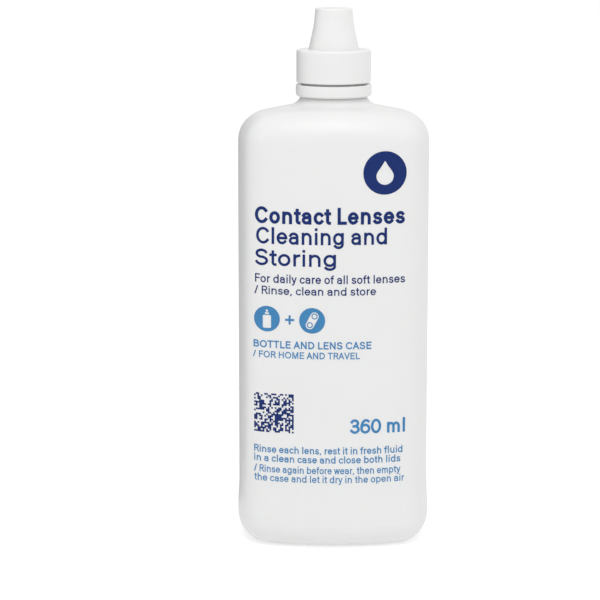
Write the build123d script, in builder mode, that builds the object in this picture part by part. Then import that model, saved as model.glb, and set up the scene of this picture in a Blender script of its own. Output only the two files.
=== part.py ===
from build123d import *
import math
import os

# Contact lens solution bottle, 360 ml: an oval blow-moulded bottle, a dropper nozzle, a screw cap and its
# tamper band. Millimetres. +Z is up, -Y is the front, and the origin is the middle of the base, on the
# surface that the bottle stands on.

# ---- body: an oval of tangent arcs, pulled up into a shell ----
BODY_WIDTH = 68.0
BODY_DEPTH = 49.5
FRONT_RADIUS = 80.0
CORNER_RADIUS = 11.5
SIDE_RADIUS = 40.0
WALL = 1.0
HEEL_RADIUS = 8.5
SHOULDER_RADIUS = 10.5
SHOULDER_SLOPE = math.radians(11.5)
SHOULDER_TOP = 155.5  # height of the shoulder where it meets the neck
PANEL_INSET = 0.45  # the flat panels lie this much further in than the heel, all round
PANEL_FADE = (11.0, 21.0)  # heights between which the heel runs into the panel
PANEL_STEPS = 5
RECESS_SIZE = (45.0, 25.0)  # the pushed-up middle of the base
RECESS_HEIGHT = 1.6
RECESS_SLOPE = 0.8
PINCH_SIZE = (30.0, 0.8)  # the moulding's closing seam, across the recess
PINCH_HEIGHT = 0.35

# ---- neck finish, for a 24 mm closure ----
NECK_RADIUS = 10.9
BORE_RADIUS = 9.25
NECK_TOP = 171.65
NECK_BLEND = 6.0  # the neck flares into the shoulder
BORE_BLEND = 5.5
BEAD_RADIUS = 11.7
BEAD_BOTTOM = 161.25
BEAD_FLAT = 0.5
BEAD_LEAD_IN = 0.9
RIM_ROUND = 0.3

# ---- screw thread: single start, right hand ----
LEAD = 3.175
NECK_TURNS = 1.5
NECK_THREAD_START = 164.1
NECK_CREST_RADIUS = 11.85
NECK_RIDGE = (2.0, 0.9)  # widths at the root and at the crest
CAP_TURNS = 1.25
CAP_THREAD_START = 164.2
CAP_CREST_RADIUS = 11.2
CAP_RIDGE = (1.5, 0.7)
THREAD_DROP = LEAD / 2  # the cap's ridge lies this far under the neck's, midway between its turns
RIDGE_BITE = 0.25  # how deep a ridge is rooted in its wall

# ---- cap: a collar below and a tapered cover for the spout above ----
COLLAR_RADIUS = 13.05
COLLAR_BOTTOM = 162.75
COLLAR_TOP = 174.15
COLLAR_BORE = 12.1
COLLAR_ROUND = 0.7
COLLAR_CHAMFER = 0.25
CAP_PLATE = 1.2
COVER_BASE_RADIUS = 8.85
COVER_WAIST = (6.96, 182.5)  # radius and height where the taper eases
COVER_TOP_RADIUS = 6.42
COVER_TOP = 188.5
COVER_BLEND = 40.0
COVER_ROUND = 0.7
COVER_WALL = 1.1
PIN_RADIUS = 0.72
PIN_TIP = (0.42, 0.8)  # radius and length of the pin's tapered end
PIN_BOTTOM = 182.9
PIN_BOSS_RADIUS = 2.3
PIN_BOSS_BOTTOM = 185.5
SEAL_RADIUS = 9.6  # the ring under the cap's plate that presses on the nozzle's flange
SEAL_WIDTH = 0.8
SEAL_GAP = 0.05

# ---- tamper band ----
BAND_RADIUS = 13.28
BAND_BORE = 12.15
BAND_BOTTOM = 157.9
BAND_TOP = 162.0
BAND_CHAMFER = (0.6, 0.6)
BAND_ROUND = 0.25
RIB_RADIUS = 11.35
RIB_TOP = 161.1
RIB_HEIGHT = 0.5
RIB_SLOPE_HEIGHT = 1.3
BRIDGE_COUNT = 5  # stubs between the band and the collar, round the back of the neck
BRIDGE_START = -20.0
BRIDGE_STEP = 55.0
BRIDGE_SIZE = (0.5, 0.7)
BRIDGE_RADIUS = 12.5

# ---- nozzle ----
FLANGE_RADIUS = 10.7
FLANGE_THICK = 1.0
PLUG_BOTTOM = 164.25
PLUG_WALL = 0.9
PLUG_LEAD_IN = (0.35, 0.8)
PLUG_RIBS = (166.25, 169.05)
PLUG_RIB_PROUD = 0.08
PLUG_RIB_WIDTH = 0.9
SPOUT_BASE_RADIUS = 6.1
SPOUT_TIP_RADIUS = 2.3
SPOUT_TIP = 184.9
SPOUT_BLEND = 1.4
TIP_ROUND = 1.2
CHANNEL_BASE_RADIUS = 5.0
CHANNEL_TIP_RADIUS = 1.3
CHANNEL_TOP = 181.6
ORIFICE_RADIUS = 0.8

# ---- contents ----
FILL_LEVEL = 139.1
FILL_GAP = 0.05


def corner_centre():
    """Centre, in the quadrant +X +Y, of the corner arc that runs smoothly into the side arc and the front arc."""
    side = Vector(BODY_WIDTH / 2 - SIDE_RADIUS, 0)
    front = Vector(0, BODY_DEPTH / 2 - FRONT_RADIUS)
    side_reach = SIDE_RADIUS - CORNER_RADIUS
    front_reach = FRONT_RADIUS - CORNER_RADIUS
    apart = (front - side).length
    along = (side_reach**2 - front_reach**2 + apart**2) / (2 * apart)
    across = math.sqrt(side_reach**2 - along**2)
    way = (front - side).normalized()
    return side + way * along + Vector(-way.Y, way.X) * across


def oval(inset):
    """The body's oval, moved inwards by inset."""
    centre = corner_centre()
    side_x = BODY_WIDTH / 2 - SIDE_RADIUS
    front_y = BODY_DEPTH / 2 - FRONT_RADIUS
    side_turn = math.degrees(math.atan2(centre.Y, centre.X - side_x))
    front_turn = math.degrees(math.atan2(centre.Y - front_y, centre.X))
    with BuildSketch() as outline:
        with BuildLine():
            CenterArc((side_x, 0), SIDE_RADIUS - inset, 0, side_turn)
            CenterArc((centre.X, centre.Y), CORNER_RADIUS - inset, side_turn, front_turn - side_turn)
            CenterArc((0, front_y), FRONT_RADIUS - inset, front_turn, 90 - front_turn)
            mirror(about=Plane.YZ)
            mirror(about=Plane.XZ)
        make_face()
    return outline.sketch


def lathe(*points):
    """A closed outline of (radius, height) points, turned about the axis."""
    with BuildPart() as turned:
        with BuildSketch(Plane.XZ):
            with BuildLine():
                Polyline(*points, close=True)
            make_face()
        revolve(axis=Axis.Z)
    return turned.part


def rings(shape, radius):
    """The circular edges of a shape that have this radius, from the lowest up."""
    circles = shape.edges().filter_by(GeomType.CIRCLE)
    return circles.filter_by(lambda edge: abs(edge.radius - radius) < 0.01).sort_by(Axis.Z)


def shoulder_height(radius, inset=0.0):
    """Height of the sloping top of the shoulder at a distance from the axis."""
    fall = math.tan(SHOULDER_SLOPE) * (radius - NECK_RADIUS)
    return SHOULDER_TOP - fall - inset / math.cos(SHOULDER_SLOPE)


def body_column(inset, top):
    """The oval body as a solid with a level top. Inset moves every surface inwards by that much."""
    low, high = PANEL_FADE
    with BuildPart() as column:
        with BuildSketch(Plane.XY.offset(inset)):
            add(oval(inset))
        extrude(amount=low - inset)
        fillet(column.faces().sort_by(Axis.Z)[0].edges(), HEEL_RADIUS - inset)
        for step in range(PANEL_STEPS + 1):
            share = step / PANEL_STEPS
            ease = (1 - math.cos(math.pi * share)) / 2
            with BuildSketch(Plane.XY.offset(low + (high - low) * share)):
                add(oval(inset + PANEL_INSET * ease))
        loft()
        with BuildSketch(Plane.XY.offset(high)):
            add(oval(inset + PANEL_INSET))
        extrude(amount=top - high)
    return column.part


def body_form(inset):
    """The body with its sloping, rounded shoulder, as a solid without a neck."""
    reach = BODY_WIDTH
    column = body_column(inset, SHOULDER_TOP + WALL)
    beneath = lathe(
        (0, 0),
        (reach, 0),
        (reach, shoulder_height(reach, inset)),
        (0, shoulder_height(0, inset)),
    )
    with BuildPart() as form:
        add(column)
        add(beneath, mode=Mode.INTERSECT)
        slope = form.faces().filter_by(GeomType.CONE).sort_by(Axis.Z)[-1]
        fillet(slope.edges().filter_by(GeomType.LINE, reverse=True), SHOULDER_RADIUS - inset)
    return form.part


def recess(grow=0.0):
    """The pushed-up middle of the base, from the standing plane up. Grow thickens it for the inside of the wall."""
    height = RECESS_HEIGHT + grow
    with BuildPart() as push:
        for level, draw_in in ((0, 0), (height, height * RECESS_SLOPE)):
            with BuildSketch(Plane.XY.offset(level)):
                Ellipse(RECESS_SIZE[0] / 2 + grow - draw_in, RECESS_SIZE[1] / 2 + grow - draw_in)
        loft()
    return push.part


def thread_ridge(start_height, turns, start_angle, wall_radius, crest_radius, widths):
    """A helical ridge that rises from a wall to a crest, on the outside or the inside of it."""
    root_width, crest_width = widths
    outward = 1 if crest_radius > wall_radius else -1
    root = -outward * RIDGE_BITE
    crest = crest_radius - wall_radius
    with BuildPart() as ridge:
        with BuildLine(Plane.XY.offset(start_height)) as path:
            Helix(pitch=LEAD, height=LEAD * turns, radius=wall_radius)
        start = path.line @ 0
        away = Vector(start.X, start.Y, 0).normalized()
        with BuildSketch(Plane(origin=start, x_dir=away, z_dir=path.line % 0)):
            with BuildLine():
                Polyline(
                    (root, -root_width / 2),
                    (0, -root_width / 2),
                    (crest, -crest_width / 2),
                    (crest, crest_width / 2),
                    (0, root_width / 2),
                    (root, root_width / 2),
                    close=True,
                )
            make_face()
        sweep(path=path.line, is_frenet=True)
    return ridge.part.rotate(Axis.Z, start_angle)


def spout_cover(inset):
    """The tapered cover above the collar as a solid, its surfaces moved inwards by inset."""
    waist_radius, waist_height = COVER_WAIST
    taper = (COVER_BASE_RADIUS - waist_radius) / (waist_height - COLLAR_TOP)
    foot = COLLAR_TOP - CAP_PLATE
    foot_radius = COVER_BASE_RADIUS - inset + taper * CAP_PLATE
    top = COVER_TOP - inset
    with BuildPart() as cover:
        with BuildSketch(Plane.XZ):
            with BuildLine():
                FilletPolyline(
                    (foot_radius, foot),
                    (waist_radius - inset, waist_height),
                    (COVER_TOP_RADIUS - inset, top),
                    radius=COVER_BLEND,
                )
                Polyline((COVER_TOP_RADIUS - inset, top), (0, top), (0, foot), (foot_radius, foot))
            make_face()
        revolve(axis=Axis.Z)
        fillet(cover.edges().group_by(Axis.Z)[-1], COVER_ROUND)
    return cover.part


os.makedirs("parts", exist_ok=True)

# ---- bottle: the blow-moulded shell with its threaded neck ----
outside = body_form(0)
inside = body_form(WALL)
base_push = recess()
inside_push = recess(WALL)
neck_foot = shoulder_height(NECK_RADIUS + NECK_BLEND) - WALL
bead_top = BEAD_BOTTOM + BEAD_FLAT
neck_rod = lathe(
    (0, neck_foot),
    (NECK_RADIUS, neck_foot),
    (NECK_RADIUS, BEAD_BOTTOM),
    (BEAD_RADIUS, BEAD_BOTTOM),
    (BEAD_RADIUS, bead_top),
    (NECK_RADIUS, bead_top + BEAD_LEAD_IN),
    (NECK_RADIUS, NECK_TOP),
    (0, NECK_TOP),
)
neck_thread = thread_ridge(NECK_THREAD_START, NECK_TURNS, 0, NECK_RADIUS, NECK_CREST_RADIUS, NECK_RIDGE)

with BuildPart() as hollow:
    add(inside)
    add(inside_push, mode=Mode.SUBTRACT)
    with BuildSketch(Plane.XY.offset(FILL_LEVEL)):
        Circle(BORE_RADIUS)
    extrude(amount=NECK_TOP - FILL_LEVEL)
    fillet(rings(hollow.part, BORE_RADIUS)[0], BORE_BLEND)

with BuildPart() as bottle:
    add(outside)
    add(base_push, mode=Mode.SUBTRACT)
    with BuildSketch(Plane.XY.offset(RECESS_HEIGHT)):
        Rectangle(*PINCH_SIZE)
    extrude(amount=-PINCH_HEIGHT)
    add(neck_rod)
    fillet(rings(bottle.part, NECK_RADIUS)[0], NECK_BLEND)
    add(neck_thread)
    add(hollow.part, mode=Mode.SUBTRACT)
    rim = bottle.edges().filter_by(GeomType.CIRCLE).group_by(Axis.Z)[-1]
    fillet(rim, RIM_ROUND)
bottle.part.label = "bottle"
export_step(bottle.part, "parts/bottle.step")

# ---- nozzle: a plug that grips the bore, a flange on the rim and a tapered spout ----
flange_top = NECK_TOP + FLANGE_THICK
plug_bore = BORE_RADIUS - PLUG_WALL
half_rib = PLUG_RIB_WIDTH / 2
nozzle_outside = lathe(
    (0, PLUG_BOTTOM),
    (BORE_RADIUS - PLUG_LEAD_IN[0], PLUG_BOTTOM),
    (BORE_RADIUS, PLUG_BOTTOM + PLUG_LEAD_IN[1]),
    (BORE_RADIUS, NECK_TOP),
    (FLANGE_RADIUS, NECK_TOP),
    (FLANGE_RADIUS, flange_top),
    (SPOUT_BASE_RADIUS, flange_top),
    (SPOUT_TIP_RADIUS, SPOUT_TIP),
    (0, SPOUT_TIP),
)
channel = lathe(
    (0, PLUG_BOTTOM),
    (plug_bore, PLUG_BOTTOM),
    (plug_bore, NECK_TOP - 1.5 * FLANGE_THICK),
    (CHANNEL_BASE_RADIUS, flange_top),
    (CHANNEL_TIP_RADIUS, CHANNEL_TOP),
    (ORIFICE_RADIUS, CHANNEL_TOP + 0.6),
    (ORIFICE_RADIUS, SPOUT_TIP),
    (0, SPOUT_TIP),
)
plug_ribs = []
for height in PLUG_RIBS:
    rib = lathe(
        (BORE_RADIUS - PLUG_WALL / 2, height - half_rib),
        (BORE_RADIUS, height - half_rib),
        (BORE_RADIUS + PLUG_RIB_PROUD, height),
        (BORE_RADIUS, height + half_rib),
        (BORE_RADIUS - PLUG_WALL / 2, height + half_rib),
    )
    plug_ribs.append(rib)

with BuildPart() as nozzle:
    add(nozzle_outside)
    fillet(rings(nozzle.part, SPOUT_TIP_RADIUS), TIP_ROUND)
    fillet(rings(nozzle.part, SPOUT_BASE_RADIUS), SPOUT_BLEND)
    add(plug_ribs)
    add(channel, mode=Mode.SUBTRACT)
nozzle.part.label = "nozzle"
export_step(nozzle.part, "parts/nozzle.step")

# ---- cap: threaded collar, spout cover, sealing ring and the pin that stops the orifice ----
ceiling = COLLAR_TOP - CAP_PLATE
cover_ceiling = COVER_TOP - COVER_WALL
seal_bottom = flange_top + SEAL_GAP
cap_turn = (CAP_THREAD_START + THREAD_DROP - NECK_THREAD_START) / LEAD * 360
cap_thread = thread_ridge(CAP_THREAD_START, CAP_TURNS, cap_turn, COLLAR_BORE, CAP_CREST_RADIUS, CAP_RIDGE)
cover_outside = spout_cover(0)
cover_inside = spout_cover(COVER_WALL)
pin = lathe(
    (0, PIN_BOTTOM),
    (PIN_TIP[0], PIN_BOTTOM),
    (PIN_RADIUS, PIN_BOTTOM + PIN_TIP[1]),
    (PIN_RADIUS, PIN_BOSS_BOTTOM),
    (PIN_BOSS_RADIUS, PIN_BOSS_BOTTOM),
    (PIN_BOSS_RADIUS, cover_ceiling),
    (0, cover_ceiling),
)

with BuildPart() as cap:
    with BuildSketch(Plane.XY.offset(COLLAR_BOTTOM)):
        Circle(COLLAR_RADIUS)
    extrude(amount=COLLAR_TOP - COLLAR_BOTTOM)
    fillet(cap.edges().group_by(Axis.Z)[-1], COLLAR_ROUND)
    add(cover_outside)
    with BuildSketch(Plane.XY.offset(COLLAR_BOTTOM)):
        Circle(COLLAR_BORE)
    extrude(amount=ceiling - COLLAR_BOTTOM, mode=Mode.SUBTRACT)
    add(cover_inside, mode=Mode.SUBTRACT)
    mouth = cap.edges().filter_by(GeomType.CIRCLE).group_by(Axis.Z)[0]
    chamfer(mouth, COLLAR_CHAMFER)
    add(cap_thread)
    with BuildSketch(Plane.XY.offset(seal_bottom)):
        Circle(SEAL_RADIUS + SEAL_WIDTH / 2)
        Circle(SEAL_RADIUS - SEAL_WIDTH / 2, mode=Mode.SUBTRACT)
    extrude(amount=ceiling - seal_bottom)
    add(pin)
cap.part.label = "cap"
export_step(cap.part, "parts/cap.step")

# ---- tamper band: a rib under the neck's bead, and the stubs that join it to the cap until it is opened ----
rib_bottom = RIB_TOP - RIB_HEIGHT
ring = lathe(
    (BAND_BORE, BAND_BOTTOM),
    (BAND_RADIUS - BAND_CHAMFER[0], BAND_BOTTOM),
    (BAND_RADIUS, BAND_BOTTOM + BAND_CHAMFER[1]),
    (BAND_RADIUS, BAND_TOP - BAND_ROUND),
    (BAND_RADIUS - BAND_ROUND, BAND_TOP),
    (BAND_BORE, BAND_TOP),
    (BAND_BORE, RIB_TOP),
    (RIB_RADIUS, RIB_TOP),
    (RIB_RADIUS, rib_bottom),
    (BAND_BORE, rib_bottom - RIB_SLOPE_HEIGHT),
)

with BuildPart() as tamper_band:
    add(ring)
    with BuildSketch(Plane.XY.offset(BAND_TOP)):
        with PolarLocations(
            BRIDGE_RADIUS,
            BRIDGE_COUNT,
            start_angle=BRIDGE_START,
            angular_range=BRIDGE_STEP * (BRIDGE_COUNT - 1),
            endpoint=True,
        ):
            Rectangle(*BRIDGE_SIZE)
    extrude(amount=COLLAR_BOTTOM - BAND_TOP)
tamper_band.part.label = "tamper_band"
export_step(tamper_band.part, "parts/tamper_band.step")

# ---- lens solution: the liquid, up to its level below the shoulder ----
liquid_inset = WALL + FILL_GAP
liquid = body_column(liquid_inset, FILL_LEVEL)
liquid_push = recess(liquid_inset)

with BuildPart() as lens_solution:
    add(liquid)
    add(liquid_push, mode=Mode.SUBTRACT)
lens_solution.part.label = "lens_solution"
export_step(lens_solution.part, "parts/lens_solution.step")
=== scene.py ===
import math

import bmesh
import bpy
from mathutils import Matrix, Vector
from mathutils.bvhtree import BVHTree


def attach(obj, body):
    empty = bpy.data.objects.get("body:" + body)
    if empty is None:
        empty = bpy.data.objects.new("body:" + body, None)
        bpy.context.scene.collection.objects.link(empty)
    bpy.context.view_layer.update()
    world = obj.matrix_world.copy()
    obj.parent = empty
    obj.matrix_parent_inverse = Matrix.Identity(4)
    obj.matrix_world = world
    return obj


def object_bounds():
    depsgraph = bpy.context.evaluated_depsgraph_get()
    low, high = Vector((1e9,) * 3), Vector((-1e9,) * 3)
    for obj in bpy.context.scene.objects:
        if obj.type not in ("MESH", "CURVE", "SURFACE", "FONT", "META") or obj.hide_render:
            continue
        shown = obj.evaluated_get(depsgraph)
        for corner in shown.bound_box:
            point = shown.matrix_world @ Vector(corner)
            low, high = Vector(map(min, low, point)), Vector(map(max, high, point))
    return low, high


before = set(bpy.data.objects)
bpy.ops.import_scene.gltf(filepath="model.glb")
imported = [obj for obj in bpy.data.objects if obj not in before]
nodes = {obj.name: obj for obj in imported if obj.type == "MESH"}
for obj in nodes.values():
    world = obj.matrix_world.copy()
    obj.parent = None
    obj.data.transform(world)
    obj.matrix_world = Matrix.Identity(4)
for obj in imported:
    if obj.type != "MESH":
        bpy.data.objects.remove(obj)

cad_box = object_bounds()
scene = bpy.context.scene
MM = 0.001

# ---- printing and seams, in millimetres ----
INK_PROUD = 0.045  # how far printing stands off the plastic
INK_ROOT = 0.04  # how far its back is buried in the plastic
BEND_STEP = 0.8  # printing is cut into strips this wide, so that it bends with the face
LAYER_STEP = 0.002  # a letter's strokes lie this much over one another where they cross
SEAM_WIDTH = 0.4
SEAM_CREST = 0.35  # its top's share of its width
SEAM_HEIGHT = 0.07
SEAM_ROOT = 0.05  # how deep it is rooted in the plastic
SEAM_SIDE = (14.0, 141.0, 3.0)  # heights at which it starts and ends on the upright side, and its step
SEAM_NECK_REACH = 14.5  # it ends this far from the neck's axis
SEAM_TURN = 0.3  # its first point on the shoulder lies this far inside the side's last
SEAM_SHOULDER_STEPS = 25
SEAM_CROWDING = 1.6  # power by which those steps crowd towards the side

# ---- colours, linear ----
NAVY = (0.0060, 0.0230, 0.1350)
SKY = (0.0500, 0.2100, 0.4300)
WHITE_HDPE = (0.83, 0.83, 0.825)
WHITE_PP = (0.845, 0.845, 0.84)
NATURAL_LDPE = (0.80, 0.82, 0.80)
WATER_DEEP = (0.90, 0.96, 0.985)
WATER_PALE = (0.95, 0.985, 1.0)
PAPER_DARKER = (0.93, 0.93, 0.93)
PAPER_LIGHTER = (0.95, 0.95, 0.95)
THIN_WALL_SHADE = 0.985  # moulded plastic's darkest tint, as a share of its colour

NOISE_LOW, NOISE_HIGH = 0.3, 0.7  # the span of values that a noise really reaches


# ======================================================================== materials

def new_material(name):
    """A node material with its principled shader, ready to be wired."""
    material = bpy.data.materials.new(name)
    material.use_nodes = True
    shader = material.node_tree.nodes["Principled BSDF"]
    return material, material.node_tree, shader


def add_node(tree, kind, **settings):
    """A node with its named settings and sockets filled in."""
    node = tree.nodes.new(kind)
    for key, value in settings.items():
        if hasattr(node, key):
            setattr(node, key, value)
        else:
            node.inputs[key].default_value = value
    return node


def noise(tree, scale, detail=3.0, roughness=0.5, stretch=(1, 1, 1)):
    """The value of a noise over the object's own coordinates, its scale in cycles a metre."""
    place = add_node(tree, "ShaderNodeTexCoord")
    mapping = add_node(tree, "ShaderNodeMapping")
    mapping.inputs["Scale"].default_value = stretch
    texture = add_node(tree, "ShaderNodeTexNoise")
    texture.inputs["Scale"].default_value = scale
    texture.inputs["Detail"].default_value = detail
    texture.inputs["Roughness"].default_value = roughness
    tree.links.new(place.outputs["Object"], mapping.inputs["Vector"])
    tree.links.new(mapping.outputs["Vector"], texture.inputs["Vector"])
    return texture.outputs["Fac"]


def remap(tree, value, low, high):
    """A noise's value spread over low to high."""
    spread = add_node(tree, "ShaderNodeMapRange")
    spread.inputs["From Min"].default_value = NOISE_LOW
    spread.inputs["From Max"].default_value = NOISE_HIGH
    spread.inputs["To Min"].default_value = low
    spread.inputs["To Max"].default_value = high
    tree.links.new(value, spread.inputs["Value"])
    return spread.outputs["Result"]


def colour_between(tree, value, first, second):
    """A colour that runs from the first to the second with a noise's value."""
    ramp = add_node(tree, "ShaderNodeValToRGB")
    ramp.color_ramp.elements[0].position = NOISE_LOW
    ramp.color_ramp.elements[0].color = (*first, 1)
    ramp.color_ramp.elements[1].position = NOISE_HIGH
    ramp.color_ramp.elements[1].color = (*second, 1)
    tree.links.new(value, ramp.inputs["Fac"])
    return ramp.outputs["Color"]


def stack_bumps(tree, shader, layers):
    """Bumps of (height value, depth in metres, strength), one over the other."""
    last = None
    for value, depth, strength in layers:
        bump = add_node(tree, "ShaderNodeBump")
        bump.inputs["Strength"].default_value = strength
        bump.inputs["Distance"].default_value = depth
        tree.links.new(value, bump.inputs["Height"])
        if last:
            tree.links.new(last.outputs["Normal"], bump.inputs["Normal"])
        last = bump
    tree.links.new(last.outputs["Normal"], shader.inputs["Normal"])


def moulded_plastic(name, colour, roughness, grain, waviness, translucency):
    """White moulded plastic: a slightly uneven wall, a fine skin, a faint haze of handling."""
    material, tree, shader = new_material(name)
    darker = tuple(c * THIN_WALL_SHADE for c in colour)
    tint = noise(tree, 55, 4.0, 0.6)
    tree.links.new(colour_between(tree, tint, darker, colour), shader.inputs["Base Color"])
    haze = noise(tree, 160, 5.0, 0.65)
    tree.links.new(remap(tree, haze, roughness - 0.03, roughness + 0.04), shader.inputs["Roughness"])
    shader.inputs["IOR"].default_value = 1.53
    shader.inputs["Subsurface Weight"].default_value = translucency
    shader.inputs["Subsurface Radius"].default_value = (1.0, 0.9, 0.8)
    shader.inputs["Subsurface Scale"].default_value = 0.0015
    wavy = noise(tree, 38, 1.5, 0.4, (1, 1, 0.45))
    drawn = noise(tree, 420, 2.0, 0.5, (1, 1, 0.04))
    skin = noise(tree, 1500, 3.0, 0.6)
    stack_bumps(
        tree,
        shader,
        [(wavy, 0.0006 * waviness, 1.0), (drawn, 0.00004 * waviness, 0.5), (skin, 0.00003 * grain, 0.6)],
    )
    return material


def ink(name, colour):
    """Screen-printed ink: slightly uneven in tone and gloss, with the print's fine tooth."""
    material, tree, shader = new_material(name)
    lighter = tuple(min(1.0, c * 1.15 + 0.002) for c in colour)
    patches = noise(tree, 320, 4.0, 0.6)
    tree.links.new(colour_between(tree, patches, colour, lighter), shader.inputs["Base Color"])
    gloss = noise(tree, 700, 3.0, 0.6)
    tree.links.new(remap(tree, gloss, 0.34, 0.5), shader.inputs["Roughness"])
    shader.inputs["IOR"].default_value = 1.42
    shader.inputs["Specular IOR Level"].default_value = 0.22
    tooth = noise(tree, 2600, 2.0, 0.5)
    stack_bumps(tree, shader, [(tooth, 0.00001, 0.5)])
    return material


def saline(name):
    """Clear, faintly cool liquid."""
    material, tree, shader = new_material(name)
    depth = noise(tree, 30, 2.0, 0.5)
    tree.links.new(colour_between(tree, depth, WATER_DEEP, WATER_PALE), shader.inputs["Base Color"])
    shader.inputs["Roughness"].default_value = 0.02
    shader.inputs["IOR"].default_value = 1.336
    shader.inputs["Transmission Weight"].default_value = 1.0
    ripple = noise(tree, 90, 1.0, 0.4)
    stack_bumps(tree, shader, [(ripple, 0.0001, 0.2)])
    return material


hdpe = moulded_plastic("hdpe_satin", WHITE_HDPE, 0.36, 1.0, 1.0, 0.25)
polypropylene = moulded_plastic("polypropylene_white", WHITE_PP, 0.30, 0.5, 0.2, 0.18)
band_plastic = moulded_plastic("polypropylene_band", WHITE_PP, 0.33, 0.6, 0.2, 0.18)
soft_polyethylene = moulded_plastic("ldpe_natural", NATURAL_LDPE, 0.42, 0.8, 0.2, 0.5)
navy_ink = ink("ink_navy", NAVY)
sky_ink = ink("ink_sky", SKY)
liquid = saline("saline_clear")


# ======================================================================== carried-over nodes

def dress(node, material):
    """Gives a CAD node its finished material."""
    mesh = nodes[node].data
    mesh.materials.clear()
    mesh.materials.append(material)


dress("bottle", hdpe)
dress("cap", polypropylene)
dress("tamper_band", band_plastic)
dress("nozzle", soft_polyethylene)
dress("lens_solution", liquid)


# ======================================================================== pieces on the bottle

bottle_tree = BVHTree.FromPolygons(
    [v.co.copy() for v in nodes["bottle"].data.vertices],
    [tuple(p.vertices) for p in nodes["bottle"].data.polygons],
)
REACH = 2 * max(cad_box[1] - cad_box[0])


def front_at(x, z):
    """The front face's y at a place, in metres."""
    hit = bottle_tree.ray_cast(Vector((x, -REACH, z)), Vector((0, 1, 0)))[0]
    return hit.y


def settle(elements, place):
    """Orders points or faces by where they are, so that each run gives the same mesh."""
    ranks = {element: rank for rank, element in enumerate(sorted(elements, key=place))}
    elements.sort(key=lambda element: ranks[element])


def put_on_bottle(name, shape, material):
    """Makes a finished shape a piece that rides on the bottle."""
    bmesh.ops.recalc_face_normals(shape, faces=shape.faces[:])
    settle(shape.verts, lambda vertex: vertex.co[:])
    settle(shape.faces, lambda face: face.calc_center_median()[:])
    mesh = bpy.data.meshes.new(name)
    shape.to_mesh(mesh)
    shape.free()
    mesh.materials.append(material)
    piece = bpy.data.objects.new(name, mesh)
    scene.collection.objects.link(piece)
    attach(piece, "bottle")


# ======================================================================== lettering

# Letters are drawn on a cap height of 1, from the middle of one outer stroke to the middle of the other
BOW_STEP = 15.0  # degrees of an arc to a straight piece
X_HEIGHT = 0.68
ARCH = 0.27
DEEP = -0.27
MID = X_HEIGHT / 2
FLAT = 0.115  # room beside a straight stem
ROUND = 0.055  # room beside a bowl
LOOSE = 0.02  # room beside an open or slanting side
WORD_GAP = 0.36


def bow(x, y, wide, tall, start, end):
    """Points along an oval's arc, from one angle to another, in degrees anticlockwise from +X."""
    count = max(3, round(abs(end - start) / BOW_STEP))
    turns = [math.radians(start + (end - start) * i / count) for i in range(count + 1)]
    return [(x + wide * math.cos(t), y + tall * math.sin(t)) for t in turns]


def glyph(left, width, right, *strokes, slants=()):
    """A letter: its width, the room at its sides, its strokes' centre lines, and its slanting strokes."""
    return {"left": left, "width": width, "right": right, "strokes": strokes, "slants": slants}


def stem(x, low=0.0, high=1.0):
    """An upright stroke."""
    return [(x, low), (x, high)]


def bar(y, start, end):
    """A level stroke."""
    return [(start, y), (end, y)]


def arch(x, half):
    """An arch as high as a small letter, from a stem at x, and down to the line again."""
    return bow(x + half, X_HEIGHT - ARCH, half, ARCH, 180, 0) + [(x + 2 * half, 0)]


BOWL = bow(0.29, MID, 0.29, MID, 0, 360)

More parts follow.
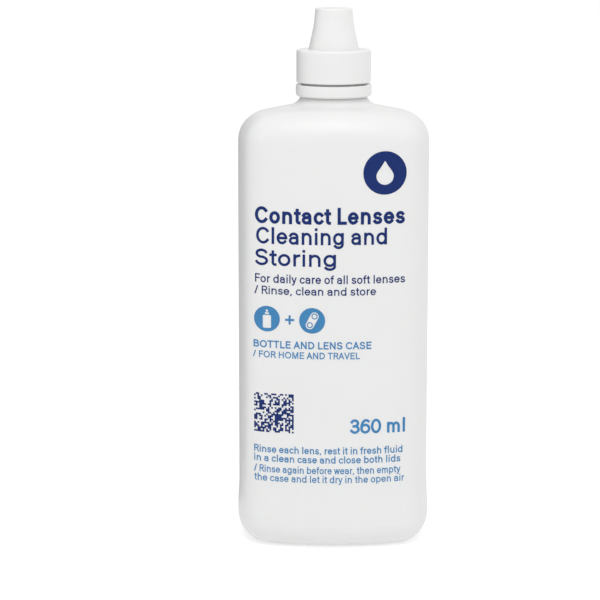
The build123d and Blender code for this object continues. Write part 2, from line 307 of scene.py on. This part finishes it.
GLYPHS = {
    "a": glyph(
        ROUND, 0.5, FLAT,
        bow(0.25, X_HEIGHT - 0.22, 0.25, 0.22, 158, 0) + [(0.5, 0)],
        [(0.5, 0.39)] + bow(0.22, 0.195, 0.22, 0.195, 90, 270) + bow(0.22, 0.18, 0.28, 0.18, 285, 350),
    ),
    "b": glyph(FLAT, 0.58, ROUND, stem(0), BOWL),
    "c": glyph(ROUND, 0.53, LOOSE, bow(0.29, MID, 0.29, MID, 42, 318)),
    "d": glyph(ROUND, 0.58, FLAT, stem(0.58), BOWL),
    "e": glyph(ROUND, 0.58, ROUND, bar(0.355, 0, 0.5), bow(0.29, MID, 0.29, MID, 4, 320)),
    "f": glyph(
        LOOSE, 0.3, LOOSE, stem(0.13, 0, 0.8) + bow(0.32, 0.8, 0.19, 0.2, 165, 95), bar(X_HEIGHT, 0, 0.3)
    ),
    "g": glyph(
        ROUND, 0.58, FLAT, BOWL, stem(0.58, 0, X_HEIGHT), [(0.58, 0)] + bow(0.3, -0.05, 0.28, 0.22, 0, -150)
    ),
    "h": glyph(FLAT, 0.52, FLAT, stem(0), arch(0, 0.26)),
    "i": glyph(FLAT, 0.0, FLAT, stem(0, 0, X_HEIGHT), stem(0, 0.99, 1.0)),
    "l": glyph(FLAT, 0.0, FLAT, stem(0)),
    "m": glyph(FLAT, 0.88, FLAT, stem(0, 0, X_HEIGHT), arch(0, 0.22), arch(0.44, 0.22)),
    "n": glyph(FLAT, 0.52, FLAT, stem(0, 0, X_HEIGHT), arch(0, 0.26)),
    "o": glyph(ROUND, 0.58, ROUND, BOWL),
    "p": glyph(FLAT, 0.58, ROUND, stem(0, DEEP, X_HEIGHT), BOWL),
    "r": glyph(FLAT, 0.25, LOOSE, stem(0, 0, X_HEIGHT), bow(0.26, X_HEIGHT - ARCH, 0.26, ARCH, 180, 92)),
    "s": glyph(
        ROUND, 0.47, ROUND,
        bow(0.235, 0.51, 0.21, 0.17, 28, 270),
        bow(0.235, 0.17, 0.235, 0.17, 90, -155),
    ),
    "t": glyph(
        LOOSE, 0.28, LOOSE, [(0.13, 0.9)] + bow(0.27, 0.14, 0.14, 0.14, 180, 270), bar(X_HEIGHT, 0, 0.28)
    ),
    "u": glyph(
        FLAT, 0.52, FLAT, [(0, X_HEIGHT)] + bow(0.26, ARCH, 0.26, ARCH, 180, 360), stem(0.52, 0, X_HEIGHT)
    ),
    "w": glyph(
        LOOSE, 0.82, LOOSE,
        slants=[(top, X_HEIGHT, foot, 0) for top, foot in ((0, 0.2), (0.41, 0.2), (0.41, 0.62), (0.82, 0.62))],
    ),
    "y": glyph(
        LOOSE, 0.52, LOOSE, bar(DEEP, 0.05, 0.12),
        slants=((0, X_HEIGHT, 0.27, 0), (0.52, X_HEIGHT, 0.17, DEEP)),
    ),
    "A": glyph(LOOSE, 0.7, LOOSE, bar(0.32, 0.15, 0.55), slants=((0, 0, 0.35, 1), (0.7, 0, 0.35, 1))),
    "B": glyph(
        FLAT, 0.6, ROUND, stem(0),
        [(0, 1)] + bow(0.32, 0.77, 0.23, 0.23, 90, -90) + [(0, 0.54)],
        bow(0.34, 0.27, 0.26, 0.27, 90, -90) + [(0, 0)],
    ),
    "C": glyph(ROUND, 0.76, ROUND, bow(0.41, 0.5, 0.41, 0.5, 40, 320)),
    "D": glyph(FLAT, 0.68, ROUND, stem(0), [(0, 1)] + bow(0.28, 0.5, 0.4, 0.5, 90, -90) + [(0, 0)]),
    "E": glyph(FLAT, 0.53, ROUND, stem(0), bar(1, 0, 0.52), bar(0.52, 0, 0.48), bar(0, 0, 0.53)),
    "F": glyph(FLAT, 0.5, LOOSE, stem(0), bar(1, 0, 0.5), bar(0.52, 0, 0.46)),
    "H": glyph(FLAT, 0.64, FLAT, stem(0), stem(0.64), bar(0.52, 0, 0.64)),
    "L": glyph(FLAT, 0.47, LOOSE, stem(0), bar(0, 0, 0.47)),
    "M": glyph(FLAT, 0.78, FLAT, stem(0), stem(0.78), slants=((0.03, 1, 0.39, 0), (0.75, 1, 0.39, 0))),
    "N": glyph(FLAT, 0.64, FLAT, stem(0), stem(0.64), slants=((0.03, 1, 0.61, 0),)),
    "O": glyph(ROUND, 0.84, ROUND, bow(0.42, 0.5, 0.42, 0.5, 0, 360)),
    "R": glyph(
        FLAT, 0.6, LOOSE, stem(0), [(0, 1)] + bow(0.33, 0.76, 0.25, 0.24, 90, -90) + [(0, 0.52)],
        slants=((0.34, 0.52, 0.6, 0),),
    ),
    "S": glyph(
        ROUND, 0.62, ROUND,
        bow(0.31, 0.755, 0.28, 0.245, 25, 270),
        bow(0.31, 0.255, 0.31, 0.255, 90, -158),
    ),
    "T": glyph(LOOSE, 0.64, LOOSE, stem(0.32), bar(1, 0, 0.64)),
    "V": glyph(LOOSE, 0.68, LOOSE, slants=((0, 1, 0.34, 0), (0.68, 1, 0.34, 0))),
    "0": glyph(LOOSE, 0.66, LOOSE, bow(0.33, 0.5, 0.33, 0.5, 0, 360)),
    "3": glyph(
        LOOSE, 0.62, LOOSE,
        bow(0.3, 0.76, 0.27, 0.24, 155, -90) + [(0.22, 0.52)],
        bow(0.31, 0.26, 0.31, 0.26, 88, -155),
    ),
    "6": glyph(LOOSE, 0.64, LOOSE, bow(0.32, 0.31, 0.32, 0.31, 0, 360), bow(0.38, 0.42, 0.38, 0.58, 190, 58)),
    ",": glyph(FLAT, 0.0, FLAT, slants=((0.0, 0.0, -0.05, -0.12),)),
    "/": glyph(LOOSE, 0.3, LOOSE, slants=((0, 0, 0.3, 1),)),
}


def ribbon(sheet, points, half, lift):
    """A stroke of even width along points, its open ends squared off half a width further on."""
    path = [Vector(p) for p in points]
    closed = (path[0] - path[-1]).length < 1e-6
    if closed:
        path.pop()
    else:
        path[0] = path[0] + (path[0] - path[1]).normalized() * half
        path[-1] = path[-1] + (path[-1] - path[-2]).normalized() * half
    sides = []
    for i, here in enumerate(path):
        before = path[i - 1] if i or closed else here
        after = path[(i + 1) % len(path)] if i < len(path) - 1 or closed else here
        way_in = (here - before).normalized() if before != here else (after - here).normalized()
        way_out = (after - here).normalized() if after != here else way_in
        way = (way_in + way_out).normalized()
        across = Vector((-way.y, way.x)) * (half / max(0.5, way.dot(way_out)))
        sides.append([sheet.verts.new((*(here + across * s), lift)) for s in (1, -1)])
    for i in range(len(sides) - (0 if closed else 1)):
        here, there = sides[i], sides[(i + 1) % len(sides)]
        sheet.faces.new((here[0], here[1], there[1], there[0]))


def slant(sheet, start, end, half, lift):
    """A slanting stroke with level ends."""
    low, high = sorted((Vector(start), Vector(end)), key=lambda p: p.y)
    way = (high - low) / (high.y - low.y)
    low = low - way * half
    high = high + way * half
    reach = Vector((half * way.length, 0))
    corners = (low - reach, low + reach, high + reach, high - reach)
    sheet.faces.new([sheet.verts.new((*corner, lift)) for corner in corners])


def words(text, width, cap, stroke):
    """A line of lettering as a flat mesh, by its width, its capitals' height and its stroke in millimetres."""
    half = stroke / 2
    tall = cap - stroke
    letters = [GLYPHS.get(c) for c in text]
    room = sum(g["left"] + g["width"] + g["right"] if g else WORD_GAP for g in letters)
    room -= letters[0]["left"] + letters[-1]["right"]
    wide = (width - stroke * sum(1 for g in letters if g)) / room
    sheet = bmesh.new()
    pen = -letters[0]["left"] * wide
    for letter in letters:
        if not letter:
            pen += WORD_GAP * wide
            continue
        pen += letter["left"] * wide + half

        def place(point):
            return (pen + point[0] * wide, half + point[1] * tall)

        lift = 0.0
        for stroke_points in letter["strokes"]:
            ribbon(sheet, [place(point) for point in stroke_points], half, lift)
            lift += LAYER_STEP
        for x0, y0, x1, y1 in letter["slants"]:
            slant(sheet, place((x0, y0)), place((x1, y1)), half, lift)
            lift += LAYER_STEP
        pen += (letter["width"] + letter["right"]) * wide + half
    mesh = bpy.data.meshes.new("words")
    sheet.to_mesh(mesh)
    sheet.free()
    return mesh


# ======================================================================== printing on the front

def plate(outlines):
    """Closed outlines as a flat mesh: one inside another is a hole, and one inside that is solid again."""
    data = bpy.data.curves.new("plate", "CURVE")
    data.dimensions = "2D"
    data.fill_mode = "BOTH"
    for outline in outlines:
        spline = data.splines.new("POLY")
        spline.points.add(len(outline) - 1)
        for point, (x, y) in zip(spline.points, outline):
            point.co = (x, y, 0, 1)
        spline.use_cyclic_u = True
    holder = bpy.data.objects.new("holder", data)
    scene.collection.objects.link(holder)
    bpy.context.view_layer.update()
    seen = holder.evaluated_get(bpy.context.evaluated_depsgraph_get())
    mesh = bpy.data.meshes.new_from_object(seen)
    bpy.data.objects.remove(holder)
    return mesh


def cell_plate(centres, size):
    """Square cells as a flat mesh."""
    sheet = bmesh.new()
    reach = size / 2
    for x, y in centres:
        corners = ((-reach, -reach), (reach, -reach), (reach, reach), (-reach, reach))
        sheet.faces.new([sheet.verts.new((x + dx, y + dy, 0)) for dx, dy in corners])
    mesh = bpy.data.meshes.new("cells")
    sheet.to_mesh(mesh)
    sheet.free()
    return mesh


def print_on_front(name, mesh, material, left, base):
    """Puts a flat mesh in millimetres on the front as a thin layer of ink, with its origin at (left, base)."""
    layer = bmesh.new()
    layer.from_mesh(mesh)
    lift = layer.verts.layers.float.new("lift")
    for v in layer.verts:
        v[lift] = v.co.z
        v.co = Vector(((left + v.co.x) * MM, 0, (base + v.co.y) * MM))
    first = min(v.co.x for v in layer.verts) / MM
    last = max(v.co.x for v in layer.verts) / MM
    for step in range(math.floor(first / BEND_STEP), math.ceil(last / BEND_STEP) + 1):
        everything = layer.verts[:] + layer.edges[:] + layer.faces[:]
        bmesh.ops.bisect_plane(
            layer, geom=everything, dist=1e-7, plane_co=(step * BEND_STEP * MM, 0, 0), plane_no=(1, 0, 0)
        )
    bmesh.ops.triangulate(layer, faces=layer.faces[:])
    faces = layer.faces[:]
    grown = bmesh.ops.extrude_face_region(layer, geom=faces, use_keep_orig=True)["geom"]
    outer = {g for g in grown if isinstance(g, bmesh.types.BMVert)}
    for v in layer.verts:
        proud = INK_PROUD + v[lift] if v in outer else -INK_ROOT
        v.co.y = front_at(v.co.x, v.co.z) - proud * MM
    put_on_bottle(name, layer, material)


def ring_points(x, y, radius, count=48):
    """Points round a circle."""
    turns = [2 * math.pi * i / count for i in range(count)]
    return [(x + radius * math.cos(t), y + radius * math.sin(t)) for t in turns]


def rounded_box(x, y, wide, tall, corner, count=5):
    """Points round a box with rounded corners, centred on (x, y)."""
    points = []
    for quarter, (sx, sy) in enumerate(((1, 1), (-1, 1), (-1, -1), (1, -1))):
        for i in range(count + 1):
            turn = math.pi / 2 * (quarter + i / count)
            cx = x + sx * (wide / 2 - corner)
            cy = y + sy * (tall / 2 - corner)
            points.append((cx + corner * math.cos(turn), cy + corner * math.sin(turn)))
    return points


def turned(points, degrees):
    """Points turned about their origin."""
    c = math.cos(math.radians(degrees))
    s = math.sin(math.radians(degrees))
    return [(x * c - y * s, x * s + y * c) for x, y in points]


def drop_points(x, y, radius, pull=0.75, count=40):
    """Points round a water drop: a circle whose top is pulled up to a tip."""
    points = []
    for i in range(count):
        t = 2 * math.pi * i / count
        pulled = pull * max(0.0, math.sin(t)) ** 3
        points.append((x + radius * math.cos(t) * (1 - pulled), y + radius * (math.sin(t) + pulled)))
    return points


def print_line(name, text, material, left, base, width, cap, stroke):
    """Prints a line of lettering."""
    print_on_front(name, words(text, width, cap, stroke), material, left, base)


# Places and sizes are in millimetres on the front: to the right of its middle, and up from the base

# Headline, in three lines, and the two smaller lines under it
print_line("print_headline_1", "Contact Lenses", navy_ink, -27.4, 115.7, 51.8, 5.9, 1.1)
print_line("print_headline_2", "Cleaning and", navy_ink, -27.0, 108.6, 45.2, 5.85, 0.9)
print_line("print_headline_3", "Storing", navy_ink, -27.4, 101.0, 28.0, 5.85, 0.9)
print_line("print_note_1", "For daily care of all soft lenses", navy_ink, -27.4, 95.05, 52.0, 3.0, 0.42)
print_line("print_note_2", "/ Rinse, clean and store", navy_ink, -27.6, 90.95, 42.1, 2.9, 0.4)

# Emblem: a plain disc with a drop left open in it
emblem = plate([ring_points(0, 0, 7.5, 96), drop_points(0, -1.1, 3.0)])
print_on_front("print_emblem", emblem, navy_ink, 17.4, 133.4)

# Two round pictograms, a bottle and a lens case with two wells, and a plus between them
DISC_RADIUS = 4.5
bottle_sign = plate(
    [
        ring_points(0, 0, DISC_RADIUS, 72),
        rounded_box(0, -0.95, 2.9, 4.6, 0.5),
        rounded_box(0, 1.95, 1.4, 0.6, 0.12),
        rounded_box(0, 2.85, 0.8, 0.8, 0.2),
    ]
)
print_on_front("print_sign_bottle", bottle_sign, sky_ink, -23.3, 82.3)
case_outline = rounded_box(0, 0, 6.4, 2.9, 1.44, 12)
wells = [ring_points(side * 1.75, 0, radius) for side in (-1, 1) for radius in (1.05, 0.72)]
CASE_TILT = 62
case_lines = [turned(line, CASE_TILT) for line in [case_outline] + wells]
case_sign = plate([ring_points(0, 0, DISC_RADIUS, 72)] + case_lines)
print_on_front("print_sign_case", case_sign, sky_ink, -7.6, 82.1)
PLUS = 3.2
PLUS_STROKE = 0.72
plus_arm = (PLUS - PLUS_STROKE) / 2
plus_sheet = bmesh.new()
ribbon(plus_sheet, bar(0, -plus_arm, plus_arm), PLUS_STROKE / 2, 0)
ribbon(plus_sheet, stem(0, -plus_arm, plus_arm), PLUS_STROKE / 2, LAYER_STEP)
plus = bpy.data.meshes.new("plus")
plus_sheet.to_mesh(plus)
plus_sheet.free()
print_on_front("print_plus", plus, sky_ink, -15.4, 82.2)
print_line("print_caption_1", "BOTTLE AND LENS CASE", sky_ink, -28.0, 72.05, 41.0, 2.6, 0.46)
print_line("print_caption_2", "/ FOR HOME AND TRAVEL", sky_ink, -28.2, 68.55, 37.2, 2.35, 0.36)

# Square code: a made-up scatter of cells that holds nothing, from the sine of each cell's row and column
CODE_SIZE = 13.9
CODE_CELLS = 23
CODE_FILL = 0.56  # share of its cells that are inked
CELL_SHARE = 0.985  # an inked cell's share of its place, so that cells that meet at a corner stay apart
cell = CODE_SIZE / CODE_CELLS
filled = []
for row in range(CODE_CELLS):
    for column in range(CODE_CELLS):
        scatter = math.sin(row * 12.9898 + column * 78.233) * 43758.5453
        if scatter - math.floor(scatter) < CODE_FILL:
            filled.append(((column + 0.5) * cell, (row + 0.5) * cell))
print_on_front("print_code", cell_plate(filled, cell * CELL_SHARE), navy_ink, -27.9, 41.95)

print_line("print_volume", "360 ml", sky_ink, 5.6, 42.0, 19.4, 5.2, 0.88)

small_lines = (
    ("Rinse each lens, rest it in fresh fluid", 34.65, 52.0, 0.38),
    ("in a clean case and close both lids", 31.4, 51.3, 0.38),
    ("/ Rinse again before wear, then empty", 27.55, 51.3, 0.34),
    ("the case and let it dry in the open air", 24.35, 52.7, 0.34),
)
for number, (text, base, width, stroke) in enumerate(small_lines, 1):
    print_line(f"print_small_{number}", text, sky_ink, -27.9, base, width, 2.6, stroke)


# ======================================================================== the mould's parting seams

def seam_path(side):
    """The bottle's outline in its parting plane, from heel to neck, as pairs of a point and its normal."""
    path = []
    height, end, step = SEAM_SIDE
    while height < end:
        start = Vector((side * REACH, 0, height * MM))
        path.append(bottle_tree.ray_cast(start, Vector((-side, 0, 0)))[:2])
        height += step
    edge = path[-1][0].x * side / MM
    for i in range(SEAM_SHOULDER_STEPS + 1):
        inwards = (edge - SEAM_NECK_REACH) * (i / SEAM_SHOULDER_STEPS) ** SEAM_CROWDING
        start = Vector((side * (edge - SEAM_TURN - inwards) * MM, 0, REACH))
        path.append(bottle_tree.ray_cast(start, Vector((0, 0, -1)))[:2])
    return path


def seam(name, side):
    """A fine raised line where the two halves of the mould met."""
    half = SEAM_WIDTH / 2 * MM
    crest = half * SEAM_CREST
    root = -SEAM_ROOT * MM
    top = SEAM_HEIGHT * MM
    section = ((-half, root), (-crest, top), (crest, top), (half, root))
    line = bmesh.new()
    rings = []
    for point, normal in seam_path(side):
        rings.append([line.verts.new(point + Vector((0, across, 0)) + normal * up) for across, up in section])
    for lower, upper in zip(rings, rings[1:]):
        for i in range(4):
            line.faces.new((lower[i], lower[(i + 1) % 4], upper[(i + 1) % 4], upper[i]))
    line.faces.new(rings[0])
    line.faces.new(rings[-1])
    put_on_bottle(name, line, hdpe)


seam("parting_seam_right", 1)
seam("parting_seam_left", -1)


# ======================================================================== studio

# A white room with a dark curtain in it, behind the bottle and to its left, which darkens its left edge
CURTAIN_SIDE = (-0.68, 0.73, 0.0)
CURTAIN_RIM = 0.72  # cosines of the angles from the curtain's middle where it begins and where it is darkest
CURTAIN_HEART = 0.978
CURTAIN_GAP = 0.055  # the floor keeps its light this far out from the bottle's middle, in metres
ROOM_LIGHT = 1.05
ROOM_DARK = 0.05
BACKDROP_LIGHT = 1.02
FLOOR_SIZE = 12.0
FLOOR_GLOW = 0.25  # the paper's own light, as the camera sees it
FLOOR_BOUNCE_LIGHT = 0.41  # its tone, as the bottle sees it
FLOOR_BOUNCE_DARK = 0.03
FLOOR_BOUNCE_GLOW = 1.3


def seen_by_camera(tree, other, seen, out):
    """Joins two shaders: one for what the camera sees, the other for the light that it throws."""
    path = add_node(tree, "ShaderNodeLightPath")
    either = add_node(tree, "ShaderNodeMixShader")
    tree.links.new(path.outputs["Is Camera Ray"], either.inputs["Fac"])
    tree.links.new(other, either.inputs[1])
    tree.links.new(seen, either.inputs[2])
    tree.links.new(either.outputs["Shader"], out.inputs["Surface"])


def curtained(tree, coordinates, light, dark):
    """A value that is light all round the bottle, and falls to dark towards the curtain."""
    way = add_node(tree, "ShaderNodeVectorMath", operation="NORMALIZE")
    tree.links.new(coordinates, way.inputs[0])
    towards = add_node(tree, "ShaderNodeVectorMath", operation="DOT_PRODUCT")
    towards.inputs[1].default_value = CURTAIN_SIDE
    tree.links.new(way.outputs["Vector"], towards.inputs[0])
    fall = add_node(tree, "ShaderNodeMapRange", interpolation_type="SMOOTHSTEP")
    fall.inputs["From Min"].default_value = CURTAIN_RIM
    fall.inputs["From Max"].default_value = CURTAIN_HEART
    fall.inputs["To Min"].default_value = light
    fall.inputs["To Max"].default_value = dark
    tree.links.new(towards.outputs["Value"], fall.inputs["Value"])
    return fall.outputs["Result"]


def floor_paper(name):
    """White paper: it glows a little to the camera, and throws less light back before the curtain."""
    material, tree, shader = new_material(name)
    tint = noise(tree, 1.5, 2.0)
    tree.links.new(colour_between(tree, tint, PAPER_DARKER, PAPER_LIGHTER), shader.inputs["Base Color"])
    shader.inputs["Roughness"].default_value = 0.6
    shader.inputs["Specular IOR Level"].default_value = 0.0
    shader.inputs["Emission Color"].default_value = (1, 1, 1, 1)
    shader.inputs["Emission Strength"].default_value = FLOOR_GLOW
    place = add_node(tree, "ShaderNodeTexCoord")
    beyond = add_node(tree, "ShaderNodeVectorMath", operation="SUBTRACT")
    beyond.inputs[1].default_value = [c * CURTAIN_GAP for c in CURTAIN_SIDE]
    tree.links.new(place.outputs["Object"], beyond.inputs[0])
    tone = curtained(tree, beyond.outputs["Vector"], FLOOR_BOUNCE_LIGHT, FLOOR_BOUNCE_DARK)
    bounce = add_node(tree, "ShaderNodeBsdfPrincipled", Roughness=0.8)
    bounce.inputs["Specular IOR Level"].default_value = 0.0
    bounce.inputs["Emission Strength"].default_value = FLOOR_BOUNCE_GLOW
    tree.links.new(tone, bounce.inputs["Base Color"])
    tree.links.new(tone, bounce.inputs["Emission Color"])
    seen_by_camera(tree, bounce.outputs["BSDF"], shader.outputs["BSDF"], tree.nodes["Material Output"])
    return material


floor_mesh = bpy.data.meshes.new("floor")
floor_corners = [(x * FLOOR_SIZE / 2, y * FLOOR_SIZE / 2, 0) for x, y in ((-1, -1), (1, -1), (1, 1), (-1, 1))]
floor_mesh.from_pydata(floor_corners, [], [(0, 1, 2, 3)])
floor = bpy.data.objects.new("floor", floor_mesh)
scene.collection.objects.link(floor)
floor_mesh.materials.append(floor_paper("floor_pale"))

world = bpy.data.worlds.new("studio")
scene.world = world
world.use_nodes = True
sky = world.node_tree
sky.nodes.clear()
direction = add_node(sky, "ShaderNodeTexCoord")
lighting = add_node(sky, "ShaderNodeBackground")
strength = curtained(sky, direction.outputs["Generated"], ROOM_LIGHT, ROOM_DARK)
sky.links.new(strength, lighting.inputs["Strength"])
backdrop = add_node(sky, "ShaderNodeBackground", Strength=BACKDROP_LIGHT)
backdrop.inputs["Color"].default_value = (1, 1, 1, 1)
world_out = add_node(sky, "ShaderNodeOutputWorld")
seen_by_camera(sky, lighting.outputs["Background"], backdrop.outputs["Background"], world_out)


def soft_box(name, place, target, size, power):
    """A square area light that faces a target."""
    data = bpy.data.lights.new(name, "AREA")
    data.shape = "SQUARE"
    data.size = size
    data.energy = power
    lamp = bpy.data.objects.new(name, data)
    lamp.location = place
    lamp.rotation_euler = (Vector(target) - Vector(place)).to_track_quat("-Z", "Y").to_euler()
    scene.collection.objects.link(lamp)


TALL = cad_box[1].z
MIDDLE = (0, 0, TALL / 2)
soft_box("key", (0.0, -0.7, 1.25), MIDDLE, 0.9, 5.2)

scene.view_settings.view_transform = "Standard"
scene.view_settings.look = "None"


# ======================================================================== camera

CAMERA_PITCH = math.radians(10.0)
CAMERA_DISTANCE = 0.868
CAMERA_ASIDE = -0.0118  # it stands a little to the left, so the bottle is right of the picture's middle
AIM_HEIGHT = 0.452 * TALL
FOCAL_LENGTH = 146.5
lens = bpy.data.cameras.new("camera")
lens.sensor_width = 36.0
lens.lens = FOCAL_LENGTH
camera = bpy.data.objects.new("camera", lens)
camera.location = (
    CAMERA_ASIDE,
    -CAMERA_DISTANCE * math.cos(CAMERA_PITCH),
    AIM_HEIGHT + CAMERA_DISTANCE * math.sin(CAMERA_PITCH),
)
camera.rotation_euler = (math.pi / 2 - CAMERA_PITCH, 0, 0)
lens.clip_start = 0.01
lens.clip_end = 50.0
scene.collection.objects.link(camera)
scene.camera = camera
